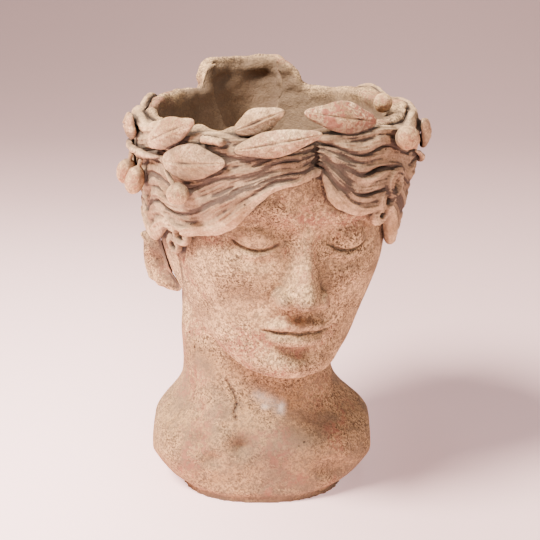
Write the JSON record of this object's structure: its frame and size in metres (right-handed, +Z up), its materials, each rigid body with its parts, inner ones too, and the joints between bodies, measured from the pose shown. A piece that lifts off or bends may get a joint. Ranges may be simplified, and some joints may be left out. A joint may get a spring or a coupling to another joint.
{
  "type": "head planter",
  "caption": "Classical bust of a young head, open at the crown as a plant pot, with swept wavy hair, an olive wreath, an open hair knot on the rim and a flat cut-off base.",
  "frame": {"origin": "centre of the drain hole on the underside", "axes": "+Z up, the chest towards -Y and the bust's own left towards +X"},
  "size_m": [0.18, 0.1787, 0.243],
  "materials": {
    "bust": "matte worn whitewash over coarse red clay, with dark wash in the hollows",
    "hair": "matte worn whitewash over coarse red clay, with dark wash in the hollows",
    "wreath": "matte worn whitewash, rubbed back to red clay on the high parts",
    "berries": "matte worn whitewash, rubbed back to red clay on the high parts"
  },
  "bodies": {
    "root": {"back_half": "bust", "front_half": "bust", "left_berry_1": "berries", "left_berry_2": "berries", "left_berry_3": "berries", "left_berry_4": "berries", "left_ear": "bust", "left_hair_lock_1": "hair", "left_hair_lock_2": "hair", "left_hair_lock_3": "hair", "left_hair_lock_4": "hair", "left_leaf_1": "wreath", "left_leaf_2": "wreath", "left_leaf_3": "wreath", "left_leaf_4": "wreath", "left_leaf_5": "wreath", "left_leaf_6": "wreath", "left_wreath_stem": "wreath", "right_berry_1": "berries", "right_berry_2": "berries", "right_berry_3": "berries", "right_ear": "bust", "right_hair_lock_1": "hair", "right_hair_lock_2": "hair", "right_hair_lock_3": "hair", "right_hair_lock_4": "hair", "right_leaf_1": "wreath", "right_leaf_2": "wreath", "right_leaf_3": "wreath", "right_leaf_4": "wreath", "right_leaf_5": "wreath", "right_leaf_6": "wreath", "right_leaf_7": "wreath", "right_leaf_8": "wreath", "right_wreath_stem": "wreath", "right_wreath_twig": "wreath"}
  },
  "joints": []
}
